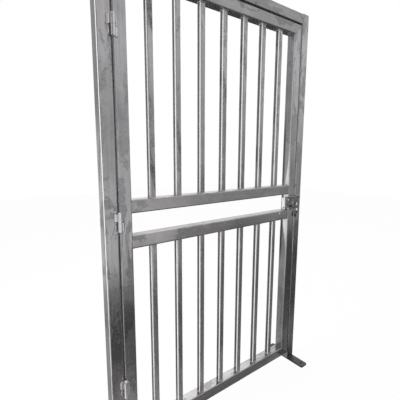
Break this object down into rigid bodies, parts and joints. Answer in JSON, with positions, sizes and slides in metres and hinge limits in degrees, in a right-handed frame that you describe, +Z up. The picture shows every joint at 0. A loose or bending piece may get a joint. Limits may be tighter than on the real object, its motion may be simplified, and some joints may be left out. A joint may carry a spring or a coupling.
{
  "type": "side gate for a full-height turnstile",
  "caption": "Full-height steel side gate for a turnstile: barred leaf hung on weld-on hinges in a framed opening, with a lock at mid height and bolt-down feet.",
  "frame": {"origin": "underside of the hinge post's foot, under the middle of the post", "axes": "+X along the closed gate from the hinge post to the latch post, +Y away from the front, the side with the hinges and the lock's case, +Z up"},
  "size_m": [1.35, 0.3, 2.304],
  "materials": {
    "galvanised_steel": "hot-dip galvanised, dull and mottled",
    "hinge_steel": "zinc coated, with a bright edge",
    "lock_case_steel": "dark zinc, dull",
    "bright_plate": "bright nickel, satin",
    "black_plastic": "moulded, matt"
  },
  "bodies": {
    "frame": {"hinge_post": "galvanised_steel", "latch_post": "galvanised_steel", "head_rail": "galvanised_steel", "hinge_post_cap": "galvanised_steel", "latch_post_cap": "galvanised_steel", "hinge_post_foot": "galvanised_steel", "latch_post_foot": "galvanised_steel", "bottom_hinge_post_half": "hinge_steel", "middle_hinge_post_half": "hinge_steel", "top_hinge_post_half": "hinge_steel"},
    "leaf": {"hinge_stile": "galvanised_steel", "latch_stile": "galvanised_steel", "leaf_top_rail": "galvanised_steel", "leaf_bottom_rail": "galvanised_steel", "lower_middle_rail": "galvanised_steel", "upper_middle_rail": "galvanised_steel", "lower_bar_1": "galvanised_steel", "lower_bar_2": "galvanised_steel", "lower_bar_3": "galvanised_steel", "lower_bar_4": "galvanised_steel", "lower_bar_5": "galvanised_steel", "lower_bar_6": "galvanised_steel", "lower_bar_7": "galvanised_steel", "upper_bar_1": "galvanised_steel", "upper_bar_2": "galvanised_steel", "upper_bar_3": "galvanised_steel", "upper_bar_4": "galvanised_steel", "upper_bar_5": "galvanised_steel", "upper_bar_6": "galvanised_steel", "upper_bar_7": "galvanised_steel", "bottom_hinge_leaf_half": "hinge_steel", "middle_hinge_leaf_half": "hinge_steel", "top_hinge_leaf_half": "hinge_steel", "bottom_hinge_pin": "hinge_steel", "middle_hinge_pin": "hinge_steel", "top_hinge_pin": "hinge_steel", "lock_case": "lock_case_steel", "lock_inner_plate": "bright_plate", "lock_cylinder": "bright_plate", "lock_key": "black_plastic", "spare_key": "black_plastic"}
  },
  "joints": [
    {"name": "gate_hinge", "type": "hinge", "parent": "frame", "child": "leaf", "pos_m": [0.033, -0.042, 1.167], "axis": [0, 0, -1], "range_deg": [0, 110]}
  ]
}
